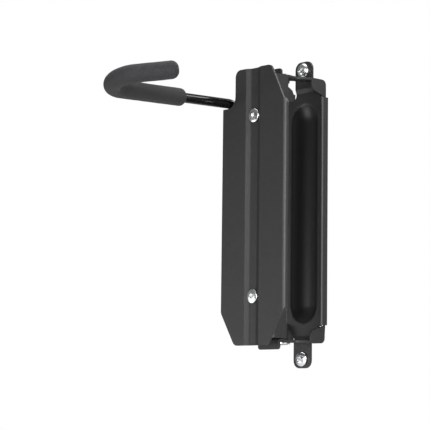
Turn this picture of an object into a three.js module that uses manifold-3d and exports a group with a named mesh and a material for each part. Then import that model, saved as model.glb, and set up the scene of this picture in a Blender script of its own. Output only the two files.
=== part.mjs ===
// Bicycle wall rack: a pressed wall bracket carries a channel that swings about a
// vertical pivot, and the channel carries a grooved tyre plate and a sleeved hook.
//
// Units are millimetres. The wall is the plane y = 0 and the rack stands out from it
// along -Y. +X is to the right of somebody facing the wall, and +Z is up. The origin
// is on the wall, midway between the two wall screws.
import * as THREE from 'three';
import { mergeVertices } from 'three/addons/utils/BufferGeometryUtils.js';
import Module from 'manifold-3d';

const wasm = await Module();
wasm.setup();

// ---- Driving dimensions -------------------------------------------------------------

const GAP = 0.3;                  // clearance between neighbouring pieces
const RUNNING = 0.1;              // radial clearance of the pivot in its bush
const SHEET = 2.4;                // sheet thickness of arms and channel
const ROUND = 40;                 // facets of a full circle

const WALL_SCREW_Z = 150;         // wall screws lie this far above and below the origin
const MID_Z = 2;                  // mid height of the bracket's arms and of all that swings

const PAN = {
  halfWidth: 25.4,                // outer faces of the side walls
  face: 8.4,                      // front face, from the wall
  sheet: 2.2,
  bend: 1.5,                      // centreline radius of the side bends
  halfHeight: 117.6,              // to the shoulders
  neckHalfWidth: 12,
  neckFillet: 6,
  tabFace: 10.2,                  // front face of the screw tabs, from the wall
  tabEnd: 159.3,                  // height of the tab's tip above the origin
  tabCorner: 8,
  joggleZ: 129,                   // height of the step between pan and tab
  earInner: 21.8,                 // inner face of the left ears
  shoulderZ: 130.5,               // where a cut shoulder meets the neck
  shoulderDepth: 3.2,             // from front to rear of a cut shoulder, which the ear's foot clears
};

// The trough is a shallow dish with round ends. Its back is pressed flat where it bears on
// the wall, and a wider, shallower dish rolls its lip.
const TROUGH = { halfWidth: 18.8, depth: 6.2, sheet: 2.4, halfHeight: 114.3, z: 1 };
const TROUGH_LIP = { halfWidth: 20.2, depth: 3.4, halfHeight: 115.7 };

const ARM = {
  outer: 136.2,                   // outer face, above and below MID_Z
  earHalfWidth: 22.9,
  earFront: 22,
  noseHalfWidth: 15,
  noseRear: 36,                   // where the arm widens towards the ears, from the wall
  nose: 59,                       // front face of the turned lip
  upperLip: 5.6,                  // height of the upper arm's lip beyond the outer face
  lowerLip: 7.6,
};

const PIVOT = { y: -44, shankRadius: 4, headRadius: 11.3, headHeight: 2.4 };
const WASHER = { thickness: 0.7, radius: 8.8 };
const BUSH = { outerRadius: 5.6, flangeRadius: 7.6, flange: 0.9 };

const CHANNEL = {
  halfWidth: 25,
  back: 58.3,                     // rear edges of the side walls, from the wall
  face: 78.5,                     // front face of the web, from the wall
  bend: 3.6,
  lugRadius: 9,
  lugHalfWidth: 17,
};

const PLATE = {
  halfWidth: 45.8,
  halfHeight: 140.5,
  face: 84,                       // front face, from the wall
  sheet: 2.2,
  bend: 2.6,
  returnDepth: 5.4,
  grooveHalfTop: 10.7,
  grooveHalfFloor: 5,
  grooveBend: 7,                  // centreline radius of the bends beside the groove's floor
  grooveDepth: 2.9,
  topX: 25.5,                     // half width of the top, between its corner cuts
  topCut: 40.5,                   // height of the corner cuts at the top
  bottomX: 23.8,
  bottomCut: 37,
  corner: 7,
  notchX: -25.6,                  // inner edge of the notch for the hook's arm
  notchZ: 104.2,
  notchCorner: 11,
  screwSpacing: 183,
};

const HOOK = {
  radius: 5,
  armX: -36.3,
  armZ: 109.8,                    // height of the arm where it passes the plate
  droop: 1.87,                    // degrees that the arm slopes down on its way out
  legX: -30.3,
  legY: -67.5,
  legBottomZ: -15,
  kneeRadius: 16,
  armEnd: 229,                    // where the front bend begins, from the wall
  bendRadius: 19.5,
  bendAngle: 150,                 // degrees
  rise: 15,                       // degrees that the bend's plane is tilted up
  tipLength: 37,                  // straight length after the bend
};

const WALL_SCREW = { shankRadius: 2.5, headRadius: 7.6, headHeight: 4.2 };
const WALL_SPACER = { inner: 2.8, outer: 4.2 };
const PLATE_SCREW = { shankRadius: 4, headRadius: 7, headHeight: 2.5 };
const NUT = { acrossFlats: 13, height: 6 };

const SLEEVE = { radius: 9.2, start: 147, startRound: 4.5, tipRound: 7.5, wallAtTip: 5 };

// ---- Solids -------------------------------------------------------------------------

function toSolid(geometry) {
  const bare = geometry.clone();
  bare.deleteAttribute('normal');
  bare.deleteAttribute('uv');
  const merged = mergeVertices(bare, 1e-4);
  return new wasm.Manifold(new wasm.Mesh({
    numProp: 3,
    vertProperties: new Float32Array(merged.attributes.position.array),
    triVerts: new Uint32Array(merged.index.array),
  }));
}

function toGeometry(solid) {
  const mesh = solid.getMesh();
  const geometry = new THREE.BufferGeometry();
  geometry.setAttribute('position', new THREE.BufferAttribute(mesh.vertProperties, 3));
  geometry.setIndex(new THREE.BufferAttribute(mesh.triVerts, 1));
  geometry.computeVertexNormals();
  return geometry;
}

function union(...solids) {
  return solids.reduce((sum, solid) => sum.add(solid));
}

function extrude(shape, depth) {
  return new THREE.ExtrudeGeometry(shape, { depth, bevelEnabled: false, curveSegments: 8 });
}

// A shape drawn in X and Y, standing from z0 up to z1.
function slabZ(shape, z0, z1) {
  return toSolid(extrude(shape, z1 - z0).translate(0, 0, z0));
}

// A shape drawn in X and Z. near and far are distances from the wall.
function slabY(shape, near, far) {
  const geometry = extrude(shape, far - near);
  geometry.rotateX(Math.PI / 2);
  return toSolid(geometry.translate(0, -near, 0));
}

// A shape drawn as (distance from the wall, Z), running from x0 to x1.
function slabX(shape, x0, x1) {
  const geometry = extrude(shape, x1 - x0);
  geometry.applyMatrix4(new THREE.Matrix4().makeBasis(
    new THREE.Vector3(0, -1, 0), new THREE.Vector3(0, 0, 1), new THREE.Vector3(-1, 0, 0)));
  return toSolid(geometry.translate(x1, 0, 0));
}

// A polygon with its corners rounded. Each point is [u, v] or [u, v, radius].
function rounded(points) {
  const shape = new THREE.Shape();
  points.forEach(([u, v, radius = 0], i) => {
    const here = new THREE.Vector2(u, v);
    const last = new THREE.Vector2(...points.at(i - 1).slice(0, 2));
    const next = new THREE.Vector2(...points[(i + 1) % points.length].slice(0, 2));
    const toLast = last.sub(here).normalize();
    const toNext = next.sub(here).normalize();
    const half = Math.acos(THREE.MathUtils.clamp(toLast.dot(toNext), -1, 1)) / 2;
    const reach = radius / Math.tan(half);
    const start = here.clone().addScaledVector(toLast, reach);
    const steps = radius > 0 ? 6 : 0;
    if (i === 0) shape.moveTo(start.x, start.y);
    else shape.lineTo(start.x, start.y);
    if (steps === 0) return;
    const centre = here.clone().addScaledVector(
      toLast.clone().add(toNext).normalize(), radius / Math.sin(half));
    const from = start.clone().sub(centre);
    const turn = (Math.PI - 2 * half) * Math.sign(toLast.cross(toNext)) * -1;
    for (let k = 1; k <= steps; k += 1) {
      const point = from.clone().rotateAround(new THREE.Vector2(), turn * k / steps).add(centre);
      shape.lineTo(point.x, point.y);
    }
  });
  shape.closePath();
  return shape;
}

// The section of a bent sheet: a path of [u, v, radius] corners, thickened to each side.
function bentSheet(path, thickness) {
  const half = thickness / 2;
  const points = path.map(([u, v]) => new THREE.Vector2(u, v));
  const sides = [[], []];
  points.forEach((here, i) => {
    const radius = path[i][2] ?? 0;
    const into = i > 0 ? here.clone().sub(points[i - 1]).normalize() : null;
    const out = i < points.length - 1 ? points[i + 1].clone().sub(here).normalize() : null;
    const ways = [into ?? out];
    const spots = [here.clone()];
    if (into && out) {
      const turn = Math.atan2(into.cross(out), into.dot(out));
      const reach = radius * Math.tan(Math.abs(turn) / 2);
      const start = here.clone().addScaledVector(into, -reach);
      const normal = new THREE.Vector2(-into.y, into.x).multiplyScalar(Math.sign(turn));
      const centre = start.clone().addScaledVector(normal, radius);
      const steps = Math.max(2, Math.ceil(Math.abs(turn) / 0.3));
      ways.length = 0;
      spots.length = 0;
      for (let k = 0; k <= steps; k += 1) {
        const angle = turn * k / steps;
        ways.push(into.clone().rotateAround(new THREE.Vector2(), angle));
        spots.push(start.clone().rotateAround(centre, angle));
      }
    }
    spots.forEach((spot, k) => {
      const normal = new THREE.Vector2(-ways[k].y, ways[k].x);
      sides[0].push(spot.clone().addScaledVector(normal, half));
      sides[1].push(spot.clone().addScaledVector(normal, -half));
    });
  });
  return new THREE.Shape([...sides[1], ...sides[0].reverse()]);
}

// A solid of revolution about a vertical axis from a closed [radius, height] profile.
function turned(profile, segments = ROUND) {
  const points = profile.map(([r, h]) => new THREE.Vector2(r, h));
  return new THREE.LatheGeometry(points, segments).rotateX(Math.PI / 2);
}

function ring(inner, outer, z0, z1, segments = ROUND) {
  const profile = [[inner, z0], [outer, z0], [outer, z1], [inner, z1], [inner, z0]];
  return toSolid(turned(profile, segments));
}

function disc(radius, z0, z1, segments = ROUND) {
  return toSolid(turned([[0, z0], [radius, z0], [radius, z1], [0, z1]], segments));
}

function hexagon(acrossFlats, z0, z1) {
  return disc(acrossFlats / Math.sqrt(3), z0, z1, 6);
}

// Turns a solid built along +Z so that it points out of the wall, at (x, distance, z).
function facingOut(solid, x, distance, z) {
  return solid.rotate([90, 0, 0]).translate([x, -distance, z]);
}

// Mirrors a solid about the height MID_Z.
function mirrored(solid) {
  return solid.translate([0, 0, -MID_Z]).mirror([0, 0, 1]).translate([0, 0, MID_Z]);
}

// ---- Wall bracket -------------------------------------------------------------------

function tabOutline(sign) {
  const shoulder = MID_Z + sign * PAN.halfHeight;
  const overlap = shoulder - sign * 12;
  const w = PAN.neckHalfWidth;
  const tip = sign * PAN.tabEnd;
  return rounded([
    [-w, overlap], [-w, tip, PAN.tabCorner], [w, tip, PAN.tabCorner], [w, overlap],
  ]);
}

// One screw tab: a neck that leaves the pan's face, steps forward and runs to the tip.
function tab(sign) {
  const shoulder = MID_Z + sign * PAN.halfHeight;
  const pan = PAN.face - PAN.sheet / 2;
  const front = PAN.tabFace - PAN.sheet / 2;
  const joggle = sign * PAN.joggleZ;
  const section = bentSheet([
    [pan, shoulder - sign * 6],
    [pan, joggle - sign * 2.2, 5],
    [front, joggle + sign * 2.2, 1.5],
    [front, sign * PAN.tabEnd],
  ], PAN.sheet);
  const strip = slabX(section, -PAN.neckHalfWidth, PAN.neckHalfWidth);
  return strip.intersect(slabY(tabOutline(sign), 0, PAN.tabFace + 1));
}

function neckFillets(sign) {
  const shoulder = MID_Z + sign * PAN.halfHeight;
  const w = PAN.neckHalfWidth;
  const f = PAN.neckFillet;
  const outline = new THREE.Shape();
  outline.moveTo(-w - f, shoulder);
  outline.absarc(-w - f, shoulder + sign * f, f, -sign * Math.PI / 2, 0, sign < 0);
  outline.lineTo(w, shoulder + sign * f);
  outline.absarc(w + f, shoulder + sign * f, f, Math.PI, Math.PI + sign * Math.PI / 2, sign < 0);
  outline.lineTo(w + f, shoulder - sign * 3);
  outline.lineTo(-w - f, shoulder - sign * 3);
  return slabY(outline, PAN.face - PAN.sheet, PAN.face);
}

// A rod with round ends, placed so that it sinks to depth behind the pan's face, where it
// leaves an outline of halfWidth and halfHeight. extra makes it thicker all round.
function dish({ halfWidth, depth, halfHeight }, extra = 0) {
  const radius = (halfWidth ** 2 + depth ** 2) / (2 * depth);
  const geometry = new THREE.CapsuleGeometry(
    radius + extra, 2 * (halfHeight - halfWidth), 24, 96);
  geometry.rotateX(Math.PI / 2);
  return toSolid(geometry.translate(0, depth - PAN.face - radius, TROUGH.z));
}

// The right shoulders, and the lower left one, are cut at a slant from neck to side wall.
function cutShoulder(side, sign) {
  const shoulder = MID_Z + sign * PAN.halfHeight;
  const inner = ARM.earHalfWidth - SHEET - GAP;
  const bend = PAN.halfWidth - PAN.sheet;
  const outline = rounded([
    [PAN.neckHalfWidth - 3, shoulder - sign * 2], [PAN.neckHalfWidth - 3, sign * PAN.shoulderZ],
    [PAN.neckHalfWidth, sign * PAN.shoulderZ], [inner, shoulder + sign * 3.6],
    [inner, shoulder + sign * 1.1], [bend, shoulder + sign * 1.1],
    [bend, shoulder - sign * 2],
  ].map(([x, z]) => [side * x, z]));
  return slabY(outline, PAN.face - PAN.shoulderDepth, PAN.face);
}

function wallPan() {
  const side = PAN.halfWidth - PAN.sheet / 2;
  const front = -(PAN.face - PAN.sheet / 2);
  const section = bentSheet(
    [[-side, 0], [-side, front, PAN.bend], [side, front, PAN.bend], [side, 0]], PAN.sheet);
  const body = slabZ(section, MID_Z - PAN.halfHeight, MID_Z + PAN.halfHeight);
  const bowl = dish(TROUGH, TROUGH.sheet);
  const betweenWallAndFace = slabY(
    rounded([[-40, -200], [40, -200], [40, 200], [-40, 200]]), 0, PAN.face);
  let pan = union(body, bowl.intersect(betweenWallAndFace));
  for (const sign of [1, -1]) {
    pan = union(pan, tab(sign), neckFillets(sign), cutShoulder(1, sign));
  }
  pan = union(pan, cutShoulder(-1, -1)).subtract(dish(TROUGH)).subtract(dish(TROUGH_LIP));
  const [upperEar, lowerEar] = [true, false].map(
    (cutAway) => slabX(panEarOutline(cutAway), -PAN.earInner - PAN.sheet, -PAN.earInner));
  pan = union(pan, upperEar, mirrored(lowerEar));
  for (const sign of [1, -1]) {
    const hole = disc(WALL_SCREW.shankRadius + GAP, -1, PAN.tabFace + 2, 24);
    pan = pan.subtract(facingOut(hole, 0, 0, sign * WALL_SCREW_Z));
  }
  return pan;
}

// The upper right ear, which is one piece with the arm's flange. Its foot reaches down
// behind the pan's face, where it is welded to the side wall.
function armEarOutline() {
  const top = MID_Z + ARM.outer;
  const shoulder = MID_Z + PAN.halfHeight;
  return rounded([
    [0.5, shoulder - 16], [4.9, shoulder - 16], [4.9, shoulder - 1.5], [1, shoulder + 0.1],
    [PAN.face + GAP, shoulder + 3], [17.5, shoulder + 6, 4], [ARM.earFront, shoulder + 10.4, 4],
    [ARM.earFront, top], [0.5, top, 5.5],
  ]);
}

// The upper left ear, which is one piece with the pan and stops under the arm's flange.
// Its rear corner is cut away, which the lower left ear's is not.
function panEarOutline(cutAway) {
  const top = MID_Z + ARM.outer - SHEET - GAP;
  const shoulder = MID_Z + PAN.halfHeight;
  return rounded([
    [0, shoulder - 6], [7.5, shoulder - 6], [7.5, shoulder - 3], [17.5, shoulder + 1.5, 3],
    [ARM.earFront, shoulder + 6, 3], [ARM.earFront, top, 1.5],
    ...(cutAway
      ? [[9.8, top, 2], [4.4, top - 3, 2], [2.4, shoulder + 9], [0, shoulder + 9]]
      : [[0, top, 1.5]]),
  ]);
}

// The upper arm. The lower one is its mirror image, with a taller lip. Its flange leaves
// the right ear, passes in front of the pan's neck and reaches across to the left ear.
function pivotArm(lipHeight) {
  const w = ARM.earHalfWidth;
  const nose = ARM.noseHalfWidth;
  const top = MID_Z + ARM.outer;
  const neck = PAN.neckHalfWidth + 0.8;
  const flange = slabZ(rounded([
    [w, -6], [w, -ARM.earFront], [nose, -ARM.noseRear, 6], [nose, -ARM.nose],
    [-nose, -ARM.nose], [-nose, -ARM.noseRear, 6], [-w, -ARM.earFront], [-w, -11.5],
    [-21, -11.5], [1.5, -34.5, 3], [4.8, -25, 4], [6.2, -19, 3], [neck, -13.5, 2], [neck, -6],
  ]), top - SHEET, top);
  const lip = slabY(rounded([
    [-ARM.noseHalfWidth, top - SHEET], [ARM.noseHalfWidth, top - SHEET],
    [ARM.noseHalfWidth, top + lipHeight, 3], [-ARM.noseHalfWidth, top + lipHeight, 3],
  ]), ARM.nose - SHEET, ARM.nose);
  const ear = slabX(armEarOutline(), w - SHEET, w);
  const hole = disc(PIVOT.shankRadius + GAP, top - 10, top + 10).translate([0, PIVOT.y, 0]);
  return union(flange, lip, ear).subtract(hole);
}

// ---- Fasteners ----------------------------------------------------------------------

// A pan head on a plain shank, with a cross recess. Built pointing along +Z.
function wallScrew() {
  const { shankRadius, headRadius, headHeight } = WALL_SCREW;
  const seat = PAN.tabFace + GAP;
  const body = toSolid(turned([
    [0, 0.5], [shankRadius - 0.7, 0.5], [shankRadius, 2], [shankRadius, seat],
    [headRadius, seat], [headRadius, seat + 1], [headRadius * 0.93, seat + 2.4],
    [headRadius * 0.7, seat + 3.6], [headRadius * 0.35, seat + headHeight],
    [0, seat + headHeight],
  ], 32));
  const bar = (x, y) => toSolid(
    new THREE.BoxGeometry(x, y, 4).translate(0, 0, seat + headHeight + 0.2));
  return body.subtract(bar(7, 1.5)).subtract(bar(1.5, 7));
}

// A sleeve that carries the screw tab off the wall.
function wallSpacer() {
  return ring(WALL_SPACER.inner, WALL_SPACER.outer, 0, PAN.tabFace - PAN.sheet - GAP, 24);
}

// A low domed head with a hexagon recess, built pointing along +Z. The plate's groove
// floor and the channel's web are clamped between the head and the nut.
function plateScrew() {
  const { shankRadius, headRadius, headHeight } = PLATE_SCREW;
  const seat = PLATE.face - PLATE.grooveDepth + GAP;
  const end = CHANNEL.face - SHEET - NUT.height - 2.5;
  const body = toSolid(turned([
    [0, end], [shankRadius - 0.8, end], [shankRadius, end + 0.8], [shankRadius, seat],
    [shankRadius + 1, seat + 0.1], [headRadius, seat + 1.3], [headRadius, seat + 1.7],
    [headRadius * 0.85, seat + 2.2], [headRadius * 0.5, seat + headHeight],
    [0, seat + headHeight],
  ], 32));
  return body.subtract(hexagon(5, seat + 0.9, seat + 5));
}

function plateNut() {
  const top = CHANNEL.face - SHEET - GAP;
  return hexagon(NUT.acrossFlats, top - NUT.height, top)
    .subtract(disc(PLATE_SCREW.shankRadius + 0.12, top - 20, top + 1, 32));
}

// Heights of the stack of pieces on the upper pivot, from the arm down.
const ARM_INNER = MID_Z + ARM.outer - SHEET;
const WASHER_TOP = ARM_INNER - 0.15;
const LUG_TOP = WASHER_TOP - WASHER.thickness - 0.15;
const LUG_BOTTOM = LUG_TOP - SHEET;
const BUSH_BOTTOM = LUG_BOTTOM - BUSH.flange - 0.15;
const NUT_TOP = BUSH_BOTTOM - 0.2;

function onPivot(solid) {
  return solid.translate([0, PIVOT.y, 0]);
}

function pivotBolt() {
  const seat = MID_Z + ARM.outer + GAP;
  const { shankRadius, headRadius, headHeight } = PIVOT;
  const end = NUT_TOP - NUT.height - 1.5;
  const body = toSolid(turned([
    [0, end], [shankRadius - 0.8, end], [shankRadius, end + 0.8], [shankRadius, seat],
    [headRadius, seat], [headRadius, seat + 1.2], [headRadius * 0.8, seat + headHeight],
    [0, seat + headHeight],
  ]));
  return onPivot(body.subtract(hexagon(5, seat + 0.9, seat + 5)));
}

function pivotNut() {
  const bore = disc(PIVOT.shankRadius + 0.12, NUT_TOP - 20, NUT_TOP + 1);
  return onPivot(hexagon(NUT.acrossFlats, NUT_TOP - NUT.height, NUT_TOP).subtract(bore));
}

function frictionWasher() {
  return onPivot(ring(
    PIVOT.shankRadius + RUNNING, WASHER.radius, WASHER_TOP - WASHER.thickness, WASHER_TOP));
}

function pivotBush() {
  const inner = PIVOT.shankRadius + RUNNING;
  const profile = [
    [inner, BUSH_BOTTOM], [BUSH.flangeRadius, BUSH_BOTTOM],
    [BUSH.flangeRadius, BUSH_BOTTOM + BUSH.flange],
    [BUSH.outerRadius, BUSH_BOTTOM + BUSH.flange], [BUSH.outerRadius, LUG_TOP],
    [inner, LUG_TOP], [inner, BUSH_BOTTOM],
  ];
  return onPivot(toSolid(turned(profile)));
}

// ---- Swing channel, tyre plate and hook ---------------------------------------------

function lug() {
  const r = CHANNEL.lugRadius;
  const w = CHANNEL.lugHalfWidth;
  const shape = new THREE.Shape();
  shape.moveTo(w, -(CHANNEL.face - 1));
  shape.lineTo(w, -(CHANNEL.back + 4));
  shape.lineTo(r, PIVOT.y - 4);
  shape.lineTo(r, PIVOT.y);
  shape.absarc(0, PIVOT.y, r, 0, Math.PI, false);
  shape.lineTo(-r, PIVOT.y - 4);
  shape.lineTo(-w, -(CHANNEL.back + 4));
  shape.lineTo(-w, -(CHANNEL.face - 1));
  shape.closePath();
  return slabZ(shape, LUG_BOTTOM, LUG_TOP);
}

function swingChannel() {
  const side = CHANNEL.halfWidth - SHEET / 2;
  const web = -(CHANNEL.face - SHEET / 2);
  const section = bentSheet([
    [-side, -CHANNEL.back], [-side, web, CHANNEL.bend],
    [side, web, CHANNEL.bend], [side, -CHANNEL.back],
  ], SHEET);
  const upperLug = lug();
  let channel = union(
    slabZ(section, 2 * MID_Z - LUG_TOP, LUG_TOP), upperLug, mirrored(upperLug));
  const pivotHole = onPivot(disc(BUSH.outerRadius + 0.12, LUG_BOTTOM - 1, LUG_TOP + 1));
  channel = channel.subtract(pivotHole).subtract(mirrored(pivotHole));
  for (const height of plateScrewHeights()) {
    const hole = disc(PLATE_SCREW.shankRadius + GAP, CHANNEL.face - 8, CHANNEL.face + 4, 32);
    channel = channel.subtract(facingOut(hole, 0, 0, height));
  }
  return channel;
}

function plateScrewHeights() {
  return [MID_Z + PLATE.screwSpacing / 2, MID_Z - PLATE.screwSpacing / 2];
}

function plateOutline() {
  const { halfWidth: w, corner: r } = PLATE;
  const top = MID_Z + PLATE.halfHeight;
  const bottom = MID_Z - PLATE.halfHeight;
  return rounded([
    [-PLATE.bottomX, bottom, r], [PLATE.bottomX, bottom, r], [w, bottom + PLATE.bottomCut, 4],
    [w, top - PLATE.topCut, 4], [PLATE.topX, top, r], [PLATE.notchX, top, r],
    [PLATE.notchX, PLATE.notchZ, PLATE.notchCorner], [-w, PLATE.notchZ, 1.5],
    [-w, bottom + PLATE.bottomCut, 4],
  ]);
}

function tyrePlate() {
  const { grooveHalfTop: lipX, grooveHalfFloor: floorX, sheet } = PLATE;
  const side = PLATE.halfWidth - sheet / 2;
  const front = -(PLATE.face - sheet / 2);
  const floor = front + PLATE.grooveDepth;
  const rear = -(PLATE.face - PLATE.returnDepth);
  const section = bentSheet([
    [-side, rear], [-side, front, PLATE.bend], [-lipX, front, 1.4], [-floorX, floor, PLATE.grooveBend],
    [floorX, floor, PLATE.grooveBend], [lipX, front, 1.4], [side, front, PLATE.bend], [side, rear],
  ], sheet);
  const z = PLATE.halfHeight + 1;
  let plate = slabZ(section, MID_Z - z, MID_Z + z)
    .intersect(slabY(plateOutline(), PLATE.face - 12, PLATE.face + 2));
  for (const height of plateScrewHeights()) {
    const hole = disc(PLATE_SCREW.shankRadius + GAP, PLATE.face - 10, PLATE.face + 4, 32);
    plate = plate.subtract(facingOut(hole, 0, 0, height));
  }
  return plate;
}

// A smooth path through straight stretches and arcs, for ExtrudeGeometry.
class BendPath extends THREE.Curve {
  constructor(corners) {
    super();
    this.points = [];
    corners.forEach(([x, y, z, radius = 0], i) => {
      const here = new THREE.Vector3(x, y, z);
      if (radius === 0) {
        this.points.push(here);
        return;
      }
      const into = here.clone().sub(new THREE.Vector3(...corners[i - 1].slice(0, 3))).normalize();
      const out = new THREE.Vector3(...corners[i + 1].slice(0, 3)).sub(here).normalize();
      const turn = into.angleTo(out);
      const reach = radius * Math.tan(turn / 2);
      const axis = into.clone().cross(out).normalize();
      const start = here.clone().addScaledVector(into, -reach);
      const centre = start.clone().addScaledVector(axis.clone().cross(into), radius);
      const steps = Math.max(3, Math.ceil(turn / 0.2));
      for (let k = 0; k <= steps; k += 1) {
        const arm = start.clone().sub(centre).applyAxisAngle(axis, turn * k / steps);
        this.points.push(centre.clone().add(arm));
      }
    });
    this.lengths = [0];
    for (let i = 1; i < this.points.length; i += 1) {
      this.lengths.push(this.lengths[i - 1] + this.points[i].distanceTo(this.points[i - 1]));
    }
  }

  get total() {
    return this.lengths.at(-1);
  }

  at(distance) {
    const d = THREE.MathUtils.clamp(distance, 0, this.total);
    const i = Math.min(
      this.lengths.length - 1, Math.max(1, this.lengths.findIndex((length) => length >= d)));
    const share = (d - this.lengths[i - 1]) / (this.lengths[i] - this.lengths[i - 1]);
    return this.points[i - 1].clone().lerp(this.points[i], share);
  }

  direction(distance) {
    const step = 0.6;
    return this.at(distance + step).sub(this.at(distance - step)).normalize();
  }
}

// A round bar along a path. stations are [distance along the path, radius] pairs, and
// the ends close on the axis.
function bar(path, stations, segments) {
  const vertices = [];
  const indices = [];
  let side = new THREE.Vector3(1, 0, 0);
  stations.forEach(([distance, radius]) => {
    const centre = path.at(distance);
    const along = path.direction(distance);
    side.addScaledVector(along, -side.dot(along)).normalize();
    const up = along.clone().cross(side);
    for (let k = 0; k < segments; k += 1) {
      const angle = 2 * Math.PI * k / segments;
      const point = centre.clone()
        .addScaledVector(side, radius * Math.cos(angle))
        .addScaledVector(up, radius * Math.sin(angle));
      vertices.push(point.x, point.y, point.z);
    }
  });
  for (let i = 0; i < stations.length - 1; i += 1) {
    for (let k = 0; k < segments; k += 1) {
      const a = i * segments + k;
      const b = i * segments + (k + 1) % segments;
      indices.push(a, b, a + segments, b, b + segments, a + segments);
    }
  }
  const last = (stations.length - 1) * segments;
  for (let k = 1; k < segments - 1; k += 1) {
    indices.push(0, k + 1, k, last, last + k, last + k + 1);
  }
  const geometry = new THREE.BufferGeometry();
  geometry.setAttribute('position', new THREE.Float32BufferAttribute(vertices, 3));
  geometry.setIndex(indices);
  return toSolid(geometry);
}

// Distances along a path: close together where it bends, far apart where it is straight.
function spaced(path, from, to) {
  const inner = path.lengths.filter((length) => length > from + 1 && length < to - 1);
  return [from, ...inner, to];
}

function hookPath() {
  const turn = THREE.MathUtils.degToRad(HOOK.bendAngle);
  const droop = THREE.MathUtils.degToRad(HOOK.droop);
  const rise = THREE.MathUtils.degToRad(HOOK.rise);
  const outward = new THREE.Vector3(0, -Math.cos(droop), -Math.sin(droop));
  const across = new THREE.Vector3(Math.cos(rise), 0, Math.sin(rise));
  const reach = HOOK.bendRadius * Math.tan(turn / 2);
  const knee = new THREE.Vector3(
    HOOK.armX, HOOK.legY, HOOK.armZ + (PLATE.face + HOOK.legY) * Math.tan(droop));
  const corner = knee.clone().addScaledVector(
    outward, (HOOK.armEnd + HOOK.legY) / Math.cos(droop) + reach);
  const tip = corner.clone()
    .addScaledVector(outward, (reach + HOOK.tipLength) * Math.cos(turn))
    .addScaledVector(across, (reach + HOOK.tipLength) * Math.sin(turn));
  return new BendPath([
    [HOOK.legX, HOOK.legY, HOOK.legBottomZ],
    [HOOK.legX, HOOK.legY, 50, 24],
    [HOOK.armX, HOOK.legY, 78, 24],
    [...knee, HOOK.kneeRadius],
    [...corner, HOOK.bendRadius],
    [...tip],
  ]);
}

function hookRod(path) {
  const r = HOOK.radius;
  const tip = path.total;
  const stops = spaced(path, 1, tip - 2);
  const stations = [[0, r - 1], ...stops.map((d) => [d, r]), [tip - 0.6, r * 0.8], [tip, r * 0.5]];
  return bar(path, stations, 20);
}

function hookSleeve(path) {
  const { radius: r, startRound, tipRound } = SLEEVE;
  const bendStart = path.lengths.find((d) => path.at(d).y < -(HOOK.armEnd - 1));
  const start = bendStart - (HOOK.armEnd - SLEEVE.start);
  const cover = path.total + SLEEVE.wallAtTip;
  const extended = new BendPath([
    ...path.points.map((p) => [p.x, p.y, p.z]),
    path.points.at(-1).clone().addScaledVector(path.direction(path.total), 12).toArray(),
  ]);
  const quarter = [0, 1, 2, 3, 4].map((k) => k * Math.PI / 8);
  const head = quarter.map(
    (t) => [start + startRound * (1 - Math.sin(t)), r - startRound * (1 - Math.cos(t))]);
  const tail = quarter.map(
    (t) => [cover - tipRound * (1 - Math.sin(t)), r - tipRound * (1 - Math.cos(t))]);
  const between = spaced(extended, start + startRound + 0.5, cover - tipRound - 0.5);
  const stations = [...head.reverse(), ...between.map((d) => [d, r]), ...tail];
  const outside = bar(extended, stations, 24);
  const hollow = spaced(extended, start - 5, path.total + GAP)
    .map((d) => [d, HOOK.radius + GAP]);
  return outside.subtract(bar(extended, hollow, 20));
}

// ---- Assembly -----------------------------------------------------------------------

const paint = { color: 0x17181a, roughness: 0.55, metalness: 0.2 };
const gloss = { color: 0x060607, roughness: 0.18, metalness: 0.2 };
const zinc = { color: 0xb9bcc0, roughness: 0.28, metalness: 1 };
const foam = { color: 0x252628, roughness: 0.95, metalness: 0 };
const nylon = { color: 0x1b1b1c, roughness: 0.6, metalness: 0 };

const rack = new THREE.Group();

function addPiece(name, solid, look) {
  const mesh = new THREE.Mesh(toGeometry(solid), new THREE.MeshStandardMaterial(look));
  mesh.name = name;
  rack.add(mesh);
}

addPiece('wall_pan', wallPan(), paint);
for (const [place, sign] of [['upper', 1], ['lower', -1]]) {
  const ofPlace = (solid) => (sign > 0 ? solid : mirrored(solid));
  const screwZ = MID_Z + sign * PLATE.screwSpacing / 2;
  addPiece(`${place}_pivot_arm`, ofPlace(pivotArm(sign > 0 ? ARM.upperLip : ARM.lowerLip)), paint);
  addPiece(`${place}_wall_screw`, facingOut(wallScrew(), 0, 0, sign * WALL_SCREW_Z), zinc);
  addPiece(`${place}_wall_spacer`, facingOut(wallSpacer(), 0, 0, sign * WALL_SCREW_Z), zinc);
  addPiece(`${place}_pivot_bolt`, ofPlace(pivotBolt()), zinc);
  addPiece(`${place}_pivot_nut`, ofPlace(pivotNut()), zinc);
  addPiece(`${place}_friction_washer`, ofPlace(frictionWasher()), nylon);
  addPiece(`${place}_pivot_bush`, ofPlace(pivotBush()), nylon);
  addPiece(`${place}_plate_screw`, facingOut(plateScrew(), 0, 0, screwZ), zinc);
  addPiece(`${place}_plate_nut`, facingOut(plateNut(), 0, 0, screwZ), zinc);
}
addPiece('swing_channel', swingChannel(), paint);
addPiece('tyre_plate', tyrePlate(), paint);
const path = hookPath();
addPiece('hook_rod', hookRod(path), gloss);
addPiece('hook_sleeve', hookSleeve(path), foam);

export default rack;
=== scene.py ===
"""Bicycle wall rack: finishes, smooth fasteners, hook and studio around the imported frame.

Everything is in metres in the CAD frame: the wall is y = 0, the rack stands out along
-Y, and +Z is up.
"""
import math

import bmesh
import bpy
from mathutils import Matrix, Vector, noise

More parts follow.
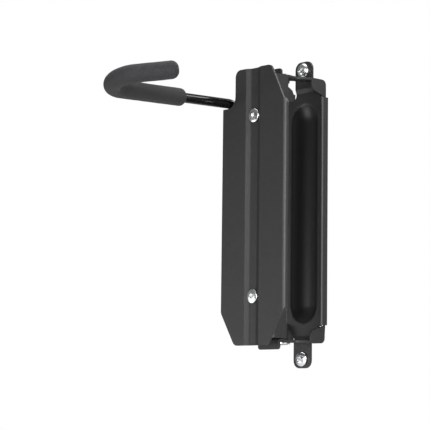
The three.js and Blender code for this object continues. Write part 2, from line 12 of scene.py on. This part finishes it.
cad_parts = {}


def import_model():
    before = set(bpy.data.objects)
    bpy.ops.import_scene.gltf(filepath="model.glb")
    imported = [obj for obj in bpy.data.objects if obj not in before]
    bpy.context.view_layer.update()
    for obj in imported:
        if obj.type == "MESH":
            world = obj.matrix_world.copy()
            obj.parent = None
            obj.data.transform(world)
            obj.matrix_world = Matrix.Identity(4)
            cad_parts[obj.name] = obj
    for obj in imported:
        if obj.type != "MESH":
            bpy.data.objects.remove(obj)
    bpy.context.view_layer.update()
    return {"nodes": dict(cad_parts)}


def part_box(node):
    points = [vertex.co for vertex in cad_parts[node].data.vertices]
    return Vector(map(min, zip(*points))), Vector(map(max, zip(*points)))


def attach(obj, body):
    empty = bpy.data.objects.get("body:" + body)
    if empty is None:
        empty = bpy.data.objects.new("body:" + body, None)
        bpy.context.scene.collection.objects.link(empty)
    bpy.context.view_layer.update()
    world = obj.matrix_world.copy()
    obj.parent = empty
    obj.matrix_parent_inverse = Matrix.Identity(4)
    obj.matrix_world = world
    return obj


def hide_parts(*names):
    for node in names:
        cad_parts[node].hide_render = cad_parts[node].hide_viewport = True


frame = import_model()
nodes = frame["nodes"]

MM = 0.001


# ---- Materials ----------------------------------------------------------------------


def new_material(name):
    material = bpy.data.materials.new(name)
    material.use_nodes = True
    return material, material.node_tree


def add_node(tree, kind, inputs=None, **settings):
    made = tree.nodes.new(kind)
    for key, value in settings.items():
        setattr(made, key, value)
    for key, value in (inputs or {}).items():
        made.inputs[key].default_value = value
    return made


def surface_noise(tree, scale, detail=4.0, roughness=0.55):
    """Noise in the object's own coordinates, so that it stays put as a body moves."""
    place = add_node(tree, "ShaderNodeTexCoord")
    made = add_node(
        tree,
        "ShaderNodeTexNoise",
        {"Scale": scale, "Detail": detail, "Roughness": roughness},
    )
    tree.links.new(place.outputs["Object"], made.inputs["Vector"])
    return made.outputs["Fac"]


def remap(tree, value, low, high, start=0.3, end=0.7):
    made = add_node(
        tree,
        "ShaderNodeMapRange",
        {"From Min": start, "From Max": end, "To Min": low, "To Max": high},
    )
    tree.links.new(value, made.inputs["Value"])
    return made.outputs["Result"]


def colour_ramp(tree, value, dark, light, start=0.35, end=0.65):
    made = add_node(tree, "ShaderNodeValToRGB")
    first, last = made.color_ramp.elements
    first.position, first.color = start, (*dark, 1)
    last.position, last.color = end, (*light, 1)
    tree.links.new(value, made.inputs["Fac"])
    return made.outputs["Color"]


def bump(tree, height, distance, strength, below=None):
    made = add_node(
        tree, "ShaderNodeBump", {"Strength": strength, "Distance": distance}
    )
    tree.links.new(height, made.inputs["Height"])
    if below is not None:
        tree.links.new(below, made.inputs["Normal"])
    return made.outputs["Normal"]


def maths(tree, operation, *values):
    """A Math node. A value is a number or another node's output."""
    made = add_node(tree, "ShaderNodeMath", operation=operation)
    for slot, value in zip(made.inputs, values):
        if isinstance(value, (int, float)):
            slot.default_value = value
        else:
            tree.links.new(value, slot)
    return made.outputs[0]


# The trough's outline on the pan's face: half its width, and the middle and half length
# of the straight stretch between its round ends.
TROUGH_HALF_WIDTH = 18.9 * MM
TROUGH_MIDDLE = 1 * MM
TROUGH_STRAIGHT = 95.5 * MM
TROUGH_SOFTNESS = 0.4 * MM
TROUGH_ROUGH = 0.34
# Painted shade: the trough's base colour is this near-black, standing in for the shadow inside
# the recess.
TROUGH_PAINTED_SHADE = 0.003


def in_trough(tree):
    """1 in the trough and 0 outside it, from the distance to the trough's middle line."""
    place = add_node(tree, "ShaderNodeTexCoord")
    split = add_node(tree, "ShaderNodeSeparateXYZ")
    tree.links.new(place.outputs["Object"], split.inputs[0])
    along = maths(tree, "ABSOLUTE", maths(tree, "SUBTRACT", split.outputs["Z"], TROUGH_MIDDLE))
    beyond = maths(tree, "MAXIMUM", maths(tree, "SUBTRACT", along, TROUGH_STRAIGHT), 0.0)
    across = maths(tree, "MULTIPLY", split.outputs["X"], split.outputs["X"])
    distance = maths(
        tree, "SQRT", maths(tree, "MULTIPLY_ADD", beyond, beyond, across)
    )
    return remap(
        tree,
        distance,
        low=1.0,
        high=0.0,
        start=TROUGH_HALF_WIDTH - TROUGH_SOFTNESS,
        end=TROUGH_HALF_WIDTH + TROUGH_SOFTNESS,
    )


def mix_values(tree, share, plain, other):
    made = add_node(tree, "ShaderNodeMix", {"B": other}, data_type="FLOAT")
    tree.links.new(share, made.inputs["Factor"])
    tree.links.new(plain, made.inputs["A"])
    return made.outputs["Result"]


def polish_and_shade_trough(material):
    """The pressed trough is smoother than the coat round it, and its colour is darkened as
    painted shade for the shadow in the recess.
    """
    tree = material.node_tree
    shader = tree.nodes["Principled BSDF"]
    share = in_trough(tree)
    rough = shader.inputs["Roughness"].links[0].from_socket
    tree.links.new(mix_values(tree, share, rough, TROUGH_ROUGH), shader.inputs["Roughness"])
    # Painted shade: inside the trough the colour is mixed towards near-black.
    colour = shader.inputs["Base Color"].links[0].from_socket
    made = add_node(tree, "ShaderNodeMix", data_type="RGBA")
    made.inputs[7].default_value = (TROUGH_PAINTED_SHADE, TROUGH_PAINTED_SHADE, TROUGH_PAINTED_SHADE, 1)
    tree.links.new(share, made.inputs[0])
    tree.links.new(colour, made.inputs[6])
    tree.links.new(made.outputs[2], shader.inputs["Base Color"])
    return material


def powder_coat(name, dark, light, rough_low, rough_high):
    """Satin powder coat: a fine even grain, a wider orange peel and faint mottling."""
    material, tree = new_material(name)
    shader = tree.nodes["Principled BSDF"]
    mottle = surface_noise(tree, scale=260)
    tree.links.new(
        colour_ramp(tree, mottle, dark, light), shader.inputs["Base Color"]
    )
    tree.links.new(
        remap(tree, surface_noise(tree, scale=900), rough_low, rough_high),
        shader.inputs["Roughness"],
    )
    wide = surface_noise(tree, scale=700, detail=2.0)
    peel = bump(tree, wide, distance=0.08 * MM, strength=0.5)
    fine = surface_noise(tree, scale=3200, detail=3.0)
    grain = bump(tree, fine, distance=0.06 * MM, strength=0.6, below=peel)
    tree.links.new(grain, shader.inputs["Normal"])
    shader.inputs["Specular IOR Level"].default_value = 0.5
    return material


def gloss_black():
    material, tree = new_material("gloss_black_paint")
    shader = tree.nodes["Principled BSDF"]
    flow = surface_noise(tree, scale=90, detail=2.0)
    tree.links.new(
        colour_ramp(tree, flow, (0.0015, 0.0015, 0.0016), (0.003, 0.003, 0.003)),
        shader.inputs["Base Color"],
    )
    tree.links.new(remap(tree, flow, low=0.1, high=0.2), shader.inputs["Roughness"])
    ripple = bump(tree, flow, distance=0.06 * MM, strength=0.3)
    tree.links.new(ripple, shader.inputs["Normal"])
    shader.inputs["Specular IOR Level"].default_value = 0.45
    return material


ZINC_SHADE = 0.82


def zinc(name, tint, rough_low, rough_high):
    material, tree = new_material(name)
    shader = tree.nodes["Principled BSDF"]
    cloud = surface_noise(tree, scale=420, detail=5.0)
    dark = tuple(channel * ZINC_SHADE for channel in tint)
    tree.links.new(colour_ramp(tree, cloud, dark, tint), shader.inputs["Base Color"])
    tree.links.new(remap(tree, cloud, rough_low, rough_high), shader.inputs["Roughness"])
    grain = bump(tree, surface_noise(tree, scale=2400), distance=0.03 * MM, strength=0.4)
    tree.links.new(grain, shader.inputs["Normal"])
    shader.inputs["Metallic"].default_value = 1.0
    return material


def foam():
    """Closed-cell foam: open cells on the skin over soft, uneven cheeks."""
    material, tree = new_material("foam_rubber")
    shader = tree.nodes["Principled BSDF"]
    place = add_node(tree, "ShaderNodeTexCoord")
    cells = add_node(tree, "ShaderNodeTexVoronoi", {"Scale": 900.0})
    tree.links.new(place.outputs["Object"], cells.inputs["Vector"])
    fine = surface_noise(tree, scale=1500, detail=5.0, roughness=0.7)
    tree.links.new(
        colour_ramp(tree, fine, (0.004, 0.0042, 0.0048), (0.015, 0.0155, 0.0175)),
        shader.inputs["Base Color"],
    )
    tree.links.new(remap(tree, fine, low=0.35, high=0.85), shader.inputs["Roughness"])
    pits = bump(tree, cells.outputs["Distance"], distance=0.6 * MM, strength=0.8)
    skin = bump(tree, fine, distance=0.4 * MM, strength=0.8, below=pits)
    tree.links.new(skin, shader.inputs["Normal"])
    shader.inputs["Specular IOR Level"].default_value = 0.4
    shader.inputs["Sheen Weight"].default_value = 0.06
    shader.inputs["Sheen Roughness"].default_value = 0.5
    return material


def nylon():
    material, tree = new_material("nylon")
    shader = tree.nodes["Principled BSDF"]
    cloud = surface_noise(tree, scale=500)
    tree.links.new(
        colour_ramp(tree, cloud, (0.012, 0.012, 0.012), (0.02, 0.02, 0.02)),
        shader.inputs["Base Color"],
    )
    tree.links.new(remap(tree, cloud, low=0.45, high=0.6), shader.inputs["Roughness"])
    skin = bump(tree, cloud, distance=0.05 * MM, strength=0.3)
    tree.links.new(skin, shader.inputs["Normal"])
    return material


COAT_LOOK = {"dark": (0.0125,) * 3, "light": (0.0155,) * 3, "rough_low": 0.42, "rough_high": 0.52}
COAT = powder_coat("powder_coat", **COAT_LOOK)
# The pan's coat, with painted shade in its trough.
PAN_COAT = polish_and_shade_trough(powder_coat("pan_coat", **COAT_LOOK))
GLOSS = gloss_black()
SCREW_ZINC = zinc("bright_zinc", tint=(0.86, 0.87, 0.88), rough_low=0.16, rough_high=0.28)
NUT_ZINC = zinc("dull_zinc", tint=(0.62, 0.62, 0.6), rough_low=0.3, rough_high=0.45)
FOAM = foam()
NYLON = nylon()


# ---- CAD nodes that stay: finish and softened edges ---------------------------------


SHEET_EDGE = 0.35
NUT_EDGE = 0.2
NYLON_EDGE = 0.12
WELD_DISTANCE = 0.002 * MM
FLAT_WITHIN = math.radians(0.5)
SOFTENED_FROM = math.radians(32)


def finish_node(name, material, edge):
    """Gives a CAD node its finish, and rounds its edges off, edge being in mm."""
    piece = nodes[name]
    piece.data.materials.clear()
    piece.data.materials.append(material)
    piece.data.polygons.foreach_set("use_smooth", [True] * len(piece.data.polygons))
    weld = piece.modifiers.new("weld", "WELD")
    weld.merge_threshold = WELD_DISTANCE
    flat = piece.modifiers.new("flat", "DECIMATE")
    flat.decimate_type = "DISSOLVE"
    flat.angle_limit = FLAT_WITHIN
    bevel = piece.modifiers.new("edges", "BEVEL")
    bevel.width = edge * MM
    bevel.segments = 2
    bevel.limit_method = "ANGLE"
    bevel.angle_limit = SOFTENED_FROM
    bevel.use_clamp_overlap = True
    bevel.harden_normals = False
    normals = piece.modifiers.new("normals", "WEIGHTED_NORMAL")
    normals.keep_sharp = True


for node_name in (
    "upper_pivot_arm",
    "lower_pivot_arm",
    "swing_channel",
    "tyre_plate",
):
    finish_node(node_name, COAT, SHEET_EDGE)
finish_node("wall_pan", PAN_COAT, SHEET_EDGE)
for place in ("upper", "lower"):
    for part in ("wall_spacer", "pivot_nut", "plate_nut"):
        finish_node(f"{place}_{part}", NUT_ZINC, NUT_EDGE)
    for part in ("friction_washer", "pivot_bush"):
        finish_node(f"{place}_{part}", NYLON, NYLON_EDGE)


# ---- New pieces ---------------------------------------------------------------------


def to_object(name, mesh_data, material, smooth=True):
    mesh = bpy.data.meshes.new(name)
    mesh_data.to_mesh(mesh)
    mesh_data.free()
    if smooth:
        mesh.polygons.foreach_set("use_smooth", [True] * len(mesh.polygons))
    made = bpy.data.objects.new(name, mesh)
    made.data.materials.append(material)
    bpy.context.scene.collection.objects.link(made)
    return made


def arc_points(start, into, out, radius):
    """Points round a bend that starts at start along into and leaves along out."""
    turn = into.angle(out)
    axis = into.cross(out).normalized()
    centre = start + axis.cross(into) * radius
    steps = max(4, math.ceil(turn / math.radians(3)))
    spin = [Matrix.Rotation(turn * k / steps, 3, axis) for k in range(steps + 1)]
    return [centre + turned @ (start - centre) for turned in spin]


def bent_path(corners):
    """Straight stretches joined by arcs. A corner is (point, bend radius)."""
    points = [corners[0][0]]
    for before, (here, radius), after in zip(corners, corners[1:], corners[2:]):
        into = (here - before[0]).normalized()
        out = (after[0] - here).normalized()
        start = here - into * radius * math.tan(into.angle(out) / 2)
        points += arc_points(start, into, out, radius)
    points.append(corners[-1][0])
    return points


def resample(points, step):
    """The same path with a point about every step along it, and its length so far."""
    fine = [points[0]]
    for a, b in zip(points, points[1:]):
        pieces = max(1, round((b - a).length / step))
        fine += [a.lerp(b, (k + 1) / pieces) for k in range(pieces)]
    lengths = [0.0]
    for a, b in zip(fine, fine[1:]):
        lengths.append(lengths[-1] + (b - a).length)
    return fine, lengths


def tube(points, radii, sides, ripple=None):
    """A closed bar through points with a radius at each, its ends closed by a fan."""
    made = bmesh.new()
    side = Vector((1, 0, 0))
    rings = []
    for i, (centre, radius) in enumerate(zip(points, radii)):
        last, following = points[max(i - 1, 0)], points[min(i + 1, len(points) - 1)]
        along = (following - last).normalized()
        side = (side - along * side.dot(along)).normalized()
        up = along.cross(side)
        ring = []
        for k in range(sides):
            angle = 2 * math.pi * k / sides
            out = side * math.cos(angle) + up * math.sin(angle)
            spot = centre + out * radius
            if ripple is not None:
                spot = spot + out * ripple(spot, i, out)
            ring.append(made.verts.new(spot))
        rings.append(ring)
    for a, b in zip(rings, rings[1:]):
        for k in range(sides):
            n = (k + 1) % sides
            made.faces.new((a[k], a[n], b[n], b[k]))
    for ring, centre, flip in ((rings[0], points[0], True), (rings[-1], points[-1], False)):
        hub = made.verts.new(centre)
        for k in range(sides):
            n = (k + 1) % sides
            made.faces.new((ring[n], ring[k], hub) if flip else (ring[k], ring[n], hub))
    bmesh.ops.recalc_face_normals(made, faces=made.faces)
    return made


# The hook's route is the one in the CAD source.
HOOK_RADIUS = 5 * MM
HOOK_ARM = Vector((-36.3, 0, 109.8)) * MM
HOOK_LEG = Vector((-30.3, -67.5, -15)) * MM
PLATE_FACE = 84 * MM
DROOP = math.radians(1.87)
RISE = math.radians(15)
BEND_START = 229 * MM
BEND_RADIUS = 19.5 * MM
BEND_ANGLE = math.radians(150)
TIP_LENGTH = 37 * MM
JOG_LOW_Z = 50 * MM
JOG_HIGH_Z = 78 * MM
JOG_RADIUS = 24 * MM
KNEE_RADIUS = 16 * MM
BAR_STEP = 2 * MM
BAR_END_ROUND = 1 * MM
BAR_SIDES = 40


def hook_route():
    outward = Vector((0, -math.cos(DROOP), -math.sin(DROOP)))
    across = Vector((math.cos(RISE), 0, math.sin(RISE)))
    reach = BEND_RADIUS * math.tan(BEND_ANGLE / 2)
    knee_z = HOOK_ARM.z + (PLATE_FACE + HOOK_LEG.y) * math.tan(DROOP)
    knee = Vector((HOOK_ARM.x, HOOK_LEG.y, knee_z))
    corner = knee + outward * ((BEND_START + HOOK_LEG.y) / math.cos(DROOP) + reach)
    way = outward * math.cos(BEND_ANGLE) + across * math.sin(BEND_ANGLE)
    tip = corner + way * (reach + TIP_LENGTH)
    return bent_path(
        [
            (HOOK_LEG, 0),
            (Vector((HOOK_LEG.x, HOOK_LEG.y, JOG_LOW_Z)), JOG_RADIUS),
            (Vector((HOOK_ARM.x, HOOK_LEG.y, JOG_HIGH_Z)), JOG_RADIUS),
            (knee, KNEE_RADIUS),
            (corner, BEND_RADIUS),
            (tip, 0),
        ]
    )


route = hook_route()


def hook_bar():
    points, lengths = resample(route, BAR_STEP)
    total = lengths[-1]
    radii = []
    for so_far in lengths:
        from_end = min(so_far, total - so_far)
        radii.append(HOOK_RADIUS - max(0.0, BAR_END_ROUND - from_end))
    made = to_object("hook_bar", tube(points, radii, BAR_SIDES), GLOSS)
    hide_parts("hook_rod")
    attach(made, "swing")


SLEEVE_RADIUS = 9.2 * MM
SLEEVE_START = 147 * MM
SLEEVE_START_ROUND = 4.5 * MM
SLEEVE_TIP_ROUND = 7.5 * MM
SLEEVE_TIP_COVER = 5 * MM
SLEEVE_STEP = 0.8 * MM
SLEEVE_SIDES = 64
BEND_CENTRE = Vector((HOOK_ARM.x + BEND_RADIUS, -BEND_START, 108 * MM))
WAVE = 0.16 * MM
PORES = 0.05 * MM
CREASE = 0.22 * MM
CREASE_SPACING = 2.6 * MM
CREASE_REACH = 5 * MM
SKIN_INSET = 0.2 * MM


def sleeve_path():
    ahead = (route[-1] - route[-2]).normalized()
    longer = route[:-1] + [route[-1] + ahead * SLEEVE_TIP_COVER]
    points, lengths = resample(longer, SLEEVE_STEP)
    first = next(i for i, p in enumerate(points) if -p.y > SLEEVE_START and p.z > 0)
    return points[first:], [so_far - lengths[first] for so_far in lengths[first:]]


def foam_sleeve():
    """Foam slid on a bar: round ends, a mouth round the bar, and creases inside the bend."""
    points, lengths = sleeve_path()
    total = lengths[-1]

    def radius_at(so_far):
        start = max(0.0, 1 - so_far / SLEEVE_START_ROUND)
        tip = max(0.0, 1 - (total - so_far) / SLEEVE_TIP_ROUND)
        pulled = SLEEVE_START_ROUND * (1 - math.sqrt(1 - min(start, 1) ** 2))
        pulled += SLEEVE_TIP_ROUND * (1 - math.sqrt(1 - min(tip, 1) ** 2))
        return SLEEVE_RADIUS - pulled

    def ripple(spot, i, out):
        wave = noise.fractal(spot * 55, 0.8, 2.0, 3) * WAVE
        pores = noise.noise(spot * 900) * PORES
        inward = (BEND_CENTRE - points[i]).normalized()
        inside = max(0.0, out.dot(inward)) ** 2
        off_bend = (points[i] - BEND_CENTRE).length - BEND_RADIUS
        near = math.exp(-((off_bend / CREASE_REACH) ** 2))
        crease = inside * near * CREASE * math.sin(lengths[i] / CREASE_SPACING)
        return wave + pores + crease - SKIN_INSET

    radii = [radius_at(so_far) for so_far in lengths]
    made = to_object("foam_sleeve", tube(points, radii, SLEEVE_SIDES, ripple), FOAM)
    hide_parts("hook_sleeve")
    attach(made, "swing")


def lathe(profile, segments=64):
    """A closed solid of revolution about Z from (radius, height) pairs, in mm."""
    made = bmesh.new()
    rings = []
    for radius, height in profile:
        if radius == 0:
            rings.append([made.verts.new((0, 0, height * MM))])
            continue
        rings.append(
            [
                made.verts.new(
                    (
                        radius * MM * math.cos(2 * math.pi * k / segments),
                        radius * MM * math.sin(2 * math.pi * k / segments),
                        height * MM,
                    )
                )
                for k in range(segments)
            ]
        )
    for a, b in zip(rings, rings[1:]):
        for k in range(segments):
            n = (k + 1) % segments
            corners = (a[k % len(a)], a[n % len(a)], b[n % len(b)], b[k % len(b)])
            made.faces.new(tuple(dict.fromkeys(corners)))
    bmesh.ops.recalc_face_normals(made, faces=made.faces)
    return made


RECESS_TAPER = 0.86
RECESS_EDGE = 0.12 * MM
SEAT_EDGE = 0.15


def prism(outline, low, high):
    """A closed solid over an outline of (x, y), narrowing to its lower end, in mm."""
    made = bmesh.new()
    lower = [
        made.verts.new((x * RECESS_TAPER * MM, y * RECESS_TAPER * MM, low * MM))
        for x, y in outline
    ]
    upper = [made.verts.new((x * MM, y * MM, high * MM)) for x, y in outline]
    made.faces.new(lower)
    made.faces.new(upper)
    for k in range(len(outline)):
        n = (k + 1) % len(outline)
        made.faces.new((lower[k], lower[n], upper[n], upper[k]))
    bmesh.ops.recalc_face_normals(made, faces=made.faces)
    return made


def cut(body, cutter):
    """body with cutter taken out, its edges softened, as one plain mesh."""
    carve = body.modifiers.new("carve", "BOOLEAN")
    carve.operation = "DIFFERENCE"
    carve.solver = "EXACT"
    carve.object = cutter
    soften = body.modifiers.new("soften", "BEVEL")
    soften.width = RECESS_EDGE
    soften.segments = 2
    soften.limit_method = "ANGLE"
    soften.angle_limit = math.radians(35)
    evaluated = body.evaluated_get(bpy.context.evaluated_depsgraph_get())
    mesh = bpy.data.meshes.new_from_object(evaluated)
    body.modifiers.clear()
    body.data = mesh
    bpy.data.objects.remove(cutter)
    normals = body.modifiers.new("normals", "WEIGHTED_NORMAL")
    normals.keep_sharp = False


def dome(radius, seat, rim, height, steps=8):
    """The profile of a domed head from its seat's edge up to its crown."""
    rise = height - rim
    pairs = [(radius - SEAT_EDGE, seat), (radius, seat + SEAT_EDGE), (radius, seat + rim)]
    for k in range(1, steps):
        angle = math.pi / 2 * k / steps
        pairs.append((radius * math.cos(angle), seat + rim + rise * math.sin(angle)))
    return [*pairs, (0, seat + height)]


def hexagon(across_flats):
    r = across_flats / math.sqrt(3)
    return [(r * math.cos(math.pi * k / 3), r * math.sin(math.pi * k / 3)) for k in range(6)]


def cross(reach, half_width):
    """A cross recess with its inner corners filled a little, as a driver's bit needs."""
    w, inner = half_width, half_width * 1.5
    quarter = [(reach, -w), (reach, w), (inner, inner), (w, reach)]
    outline = []
    for k in range(4):
        c, s = round(math.cos(math.pi / 2 * k)), round(math.sin(math.pi / 2 * k))
        outline += [(x * c - y * s, x * s + y * c) for x, y in quarter[:3]]
    return outline


def fastener(name, node, body, profile, outline, recess, turn, at, angle=0.0):
    """A turned screw with a driver's recess, laid along the way that turn gives."""
    made = to_object(name, lathe(profile), SCREW_ZINC)
    cutter = to_object(f"{name}_cutter", prism(outline, *recess), SCREW_ZINC)
    cut(made, cutter)
    made.data.transform(Matrix.Translation(at) @ turn @ Matrix.Rotation(angle, 4, "Z"))
    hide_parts(node)
    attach(made, body)


OUT_OF_WALL = Matrix.Rotation(math.radians(90), 4, "X")
UPSIDE_DOWN = Matrix.Rotation(math.radians(180), 4, "X")

# Seats, heads and shanks of the fasteners, in mm, as in the CAD source. A cutter ends
# RECESS_TOP above its seat, which is clear of every head.
TAB_SEAT = 10.5
PLATE_SEAT = 81.4
WALL_SCREW_Z = 150
WALL_SHANK_RADIUS = 2.5
WALL_SHANK_TIP = 0.5
WALL_HEAD_RADIUS = 7.6
WALL_HEAD = 4.2
PLATE_HEAD_RADIUS = 7
PLATE_HEAD_DOME = 1.3
PIVOT_HEAD_RADIUS = 11.3
PIVOT_HEAD = 2.4
SHANK_RADIUS = 4
SHANK_CHAMFER = 0.8
DRIVER_FLATS = 5
RECESS_TOP = 6


def wall_screws():
    seat = TAB_SEAT
    profile = [
        (0, WALL_SHANK_TIP),
        (WALL_SHANK_RADIUS - 0.7, WALL_SHANK_TIP),
        (WALL_SHANK_RADIUS, WALL_SHANK_TIP + 1.5),
        (WALL_SHANK_RADIUS, seat),
        *dome(WALL_HEAD_RADIUS, seat, 0.8, WALL_HEAD),
    ]
    for place, height, angle in (("upper", WALL_SCREW_Z, 20), ("lower", -WALL_SCREW_Z, -25)):
        fastener(
            f"{place}_wall_screw_turned",
            f"{place}_wall_screw",
            "root",
            profile,
            cross(reach=3.9, half_width=0.72),
            (seat + 1.3, seat + RECESS_TOP),
            OUT_OF_WALL,
            Vector((0, 0, height * MM)),
            math.radians(angle),
        )


def plate_screws():
    seat = PLATE_SEAT
    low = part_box("upper_plate_screw")[1].y / -MM
    profile = [
        (0, low),
        (SHANK_RADIUS - SHANK_CHAMFER, low),
        (SHANK_RADIUS, low + SHANK_CHAMFER),
        (SHANK_RADIUS, seat),
        (SHANK_RADIUS + 1, seat + 0.1),
        *dome(PLATE_HEAD_RADIUS, seat + 1.2, 0.3, PLATE_HEAD_DOME),
    ]
    for place in ("upper", "lower"):
        lo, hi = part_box(f"{place}_plate_screw")
        fastener(
            f"{place}_plate_screw_turned",
            f"{place}_plate_screw",
            "swing",
            profile,
            hexagon(DRIVER_FLATS),
            (seat + 0.9, seat + RECESS_TOP),
            OUT_OF_WALL,
            Vector((0, 0, (lo.z + hi.z) / 2)),
            math.radians(12),
        )


def pivot_bolts():
    for place, turn in (("upper", Matrix.Identity(4)), ("lower", UPSIDE_DOWN)):
        lo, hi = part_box(f"{place}_pivot_bolt")
        length = (hi.z - lo.z) / MM
        seat = length - PIVOT_HEAD
        profile = [
            (0, 0),
            (SHANK_RADIUS - SHANK_CHAMFER, 0),
            (SHANK_RADIUS, SHANK_CHAMFER),
            (SHANK_RADIUS, seat),
            *dome(PIVOT_HEAD_RADIUS, seat, 1.1, PIVOT_HEAD),
        ]
        foot = lo.z if place == "upper" else hi.z
        fastener(
            f"{place}_pivot_bolt_turned",
            f"{place}_pivot_bolt",
            "root",
            profile,
            hexagon(DRIVER_FLATS),
            (seat + 0.9, seat + RECESS_TOP),
            turn,
            Vector((0, (lo.y + hi.y) / 2, foot)),
        )


hook_bar()
foam_sleeve()
wall_screws()
plate_screws()
pivot_bolts()


# ---- Studio -------------------------------------------------------------------------

FLOOR_Z = -0.62
FLOOR_HALF_WIDTH = 2.5
ROOM_LIGHT = 0.2


def floor():
    made = bmesh.new()
    half = FLOOR_HALF_WIDTH
    corners = [(-half, -half), (half, -half), (half, half), (-half, half)]
    made.faces.new([made.verts.new((x, y, FLOOR_Z)) for x, y in corners])
    material, tree = new_material("pale_floor")
    shader = tree.nodes["Principled BSDF"]
    shader.inputs["Base Color"].default_value = (0.9, 0.9, 0.9, 1)
    shader.inputs["Roughness"].default_value = 0.9
    to_object("floor", made, material, smooth=False)


def soft_light(name, position, target, size, power):
    data = bpy.data.lights.new(name, "AREA")
    data.shape = "RECTANGLE"
    data.size, data.size_y = size
    data.energy = power
    made = bpy.data.objects.new(name, data)
    made.location = position
    aim = Vector(target) - Vector(position)
    made.rotation_euler = aim.to_track_quat("-Z", "Y").to_euler()
    bpy.context.scene.collection.objects.link(made)


def world():
    """White behind the object, and a dimmer white room for the light that it gives."""
    made = bpy.data.worlds.new("studio")
    bpy.context.scene.world = made
    made.use_nodes = True
    tree = made.node_tree
    tree.nodes.clear()
    output = add_node(tree, "ShaderNodeOutputWorld")
    path = add_node(tree, "ShaderNodeLightPath")
    mix = add_node(tree, "ShaderNodeMixShader")
    room = add_node(
        tree, "ShaderNodeBackground", {"Color": (1, 1, 1, 1), "Strength": ROOM_LIGHT}
    )
    behind = add_node(
        tree, "ShaderNodeBackground", {"Color": (1, 1, 1, 1), "Strength": 1.0}
    )
    tree.links.new(path.outputs["Is Camera Ray"], mix.inputs["Fac"])
    tree.links.new(room.outputs[0], mix.inputs[1])
    tree.links.new(behind.outputs[0], mix.inputs[2])
    tree.links.new(mix.outputs[0], output.inputs["Surface"])


CAMERA_AT = Vector((1.2248, -1.2819, -0.2060))
CAMERA_AZIMUTH = math.radians(46.87)
CAMERA_PITCH = math.radians(6.58)
CAMERA_ROLL = math.radians(0.7)
SENSOR = 36
LENS = 143.83


def camera():
    right = Vector((math.cos(CAMERA_AZIMUTH), math.sin(CAMERA_AZIMUTH), 0))
    ahead = Vector(
        (
            -math.sin(CAMERA_AZIMUTH) * math.cos(CAMERA_PITCH),
            math.cos(CAMERA_AZIMUTH) * math.cos(CAMERA_PITCH),
            math.sin(CAMERA_PITCH),
        )
    )
    up = right.cross(ahead)
    c, s = math.cos(CAMERA_ROLL), math.sin(CAMERA_ROLL)
    right, up = right * c + up * s, up * c - right * s
    data = bpy.data.cameras.new("camera")
    data.sensor_width = SENSOR
    data.lens = LENS
    data.clip_start, data.clip_end = 0.05, 50
    made = bpy.data.objects.new("camera", data)
    made.matrix_world = Matrix.Translation(CAMERA_AT) @ Matrix(
        (
            (right.x, up.x, -ahead.x),
            (right.y, up.y, -ahead.y),
            (right.z, up.z, -ahead.z),
        )
    ).to_4x4()
    bpy.context.scene.collection.objects.link(made)
    bpy.context.scene.camera = made


floor()
soft_light("key", (1.45, -0.85, 0.1), (0, -0.05, 0), (0.5, 0.9), 26)
soft_light("side", (1.3, 0.55, 0.3), (0, -0.05, 0), (0.8, 0.9), 3)
soft_light("front", (0.32, -1.45, 0.1), (0, -0.08, 0), (0.3, 0.9), 7)
soft_light("near_camera", (0.98, -1.12, 0.1), (0, -0.02, 0), (0.15, 0.9), 3)
soft_light("top", (-0.1, -0.3, 1.3), (0, -0.1, 0), (1.2, 0.8), 10)
soft_light("low_left", (-0.95, -1.1, -0.35), (0, -0.1, -0.1), (0.7, 0.6), 3.5)
soft_light("behind", (0.35, 0.95, 1.0), (0, -0.12, 0.08), (1.0, 0.35), 6)
world()
camera()
bpy.context.scene.view_settings.view_transform = "Standard"
